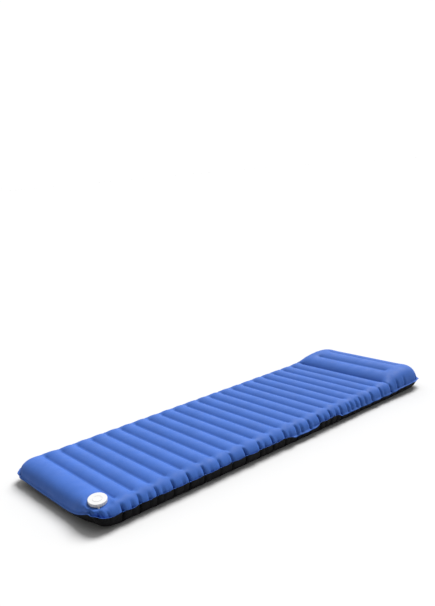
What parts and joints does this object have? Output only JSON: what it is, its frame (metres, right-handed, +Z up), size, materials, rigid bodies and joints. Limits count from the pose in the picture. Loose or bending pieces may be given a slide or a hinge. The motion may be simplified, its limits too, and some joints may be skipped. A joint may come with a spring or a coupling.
{
  "type": "camping air mattress",
  "caption": "Inflatable camping mat with transverse air tubes, a raised pillow at the head and a knurled screw valve in one foot corner.",
  "frame": {"origin": "on the floor under the middle of the mat, at the centre of the bottom of its bounding box", "axes": "+Y towards the head end along the mat, +X across it towards the side that has the valve, +Z up"},
  "size_m": [0.66, 1.981, 0.114],
  "materials": {
    "blue_fabric": "coated woven, slight sheen",
    "black_fabric": "coated woven, matt",
    "baffle_fabric": "coated woven, matt",
    "white_plastic": "satin moulded",
    "valve_plastic": "moulded",
    "silicone": "soft"
  },
  "bodies": {
    "mattress": {"top_sheet": "blue_fabric", "bottom_sheet": "black_fabric", "tube_baffle_01": "baffle_fabric", "tube_baffle_02": "baffle_fabric", "tube_baffle_03": "baffle_fabric", "tube_baffle_04": "baffle_fabric", "tube_baffle_05": "baffle_fabric", "tube_baffle_06": "baffle_fabric", "tube_baffle_07": "baffle_fabric", "tube_baffle_08": "baffle_fabric", "tube_baffle_09": "baffle_fabric", "tube_baffle_10": "baffle_fabric", "tube_baffle_11": "baffle_fabric", "tube_baffle_12": "baffle_fabric", "tube_baffle_13": "baffle_fabric", "tube_baffle_14": "baffle_fabric", "tube_baffle_15": "baffle_fabric", "tube_baffle_16": "baffle_fabric", "tube_baffle_17": "baffle_fabric", "tube_baffle_18": "baffle_fabric", "tube_baffle_19": "baffle_fabric", "tube_baffle_20": "baffle_fabric", "tube_baffle_21": "baffle_fabric", "tube_baffle_22": "baffle_fabric", "pillow_baffle_front": "baffle_fabric", "pillow_baffle_rear": "baffle_fabric", "valve_base": "valve_plastic"},
    "strap_ring": {"cap_strap": "white_plastic"},
    "cap": {"screw_cap": "white_plastic", "cap_gasket": "silicone", "check_seat": "valve_plastic"},
    "lid": {"port_lid": "white_plastic", "port_seal": "silicone"},
    "flap": {"check_flap": "silicone"}
  },
  "joints": [
    {"name": "cap_lift", "type": "slide", "parent": "mattress", "child": "strap_ring", "axis": [0.1547, -0.0788, 0.9848], "range_m": [0, 0.012]},
    {"name": "cap_turn", "type": "hinge", "parent": "strap_ring", "child": "cap", "pos_m": [0.25, -0.9225, 0.085], "axis": [0.1547, -0.0788, 0.9848], "range_deg": [0, 540]},
    {"name": "lid_pull", "type": "slide", "parent": "cap", "child": "lid", "axis": [0.1547, -0.0788, 0.9848], "range_m": [0, 0.012]},
    {"name": "flap_open", "type": "hinge", "parent": "cap", "child": "flap", "pos_m": [0.23594, -0.91534, 0.08768], "axis": [0.454, 0.891, 0], "range_deg": [0, 40], "stiffness_Nm_per_rad": 0.004, "springref_deg": -20.05}
  ],
  "couplings": [
    {"joint": "cap_lift", "follows": "cap_turn", "m_per_rad": 0.0012732}
  ]
}
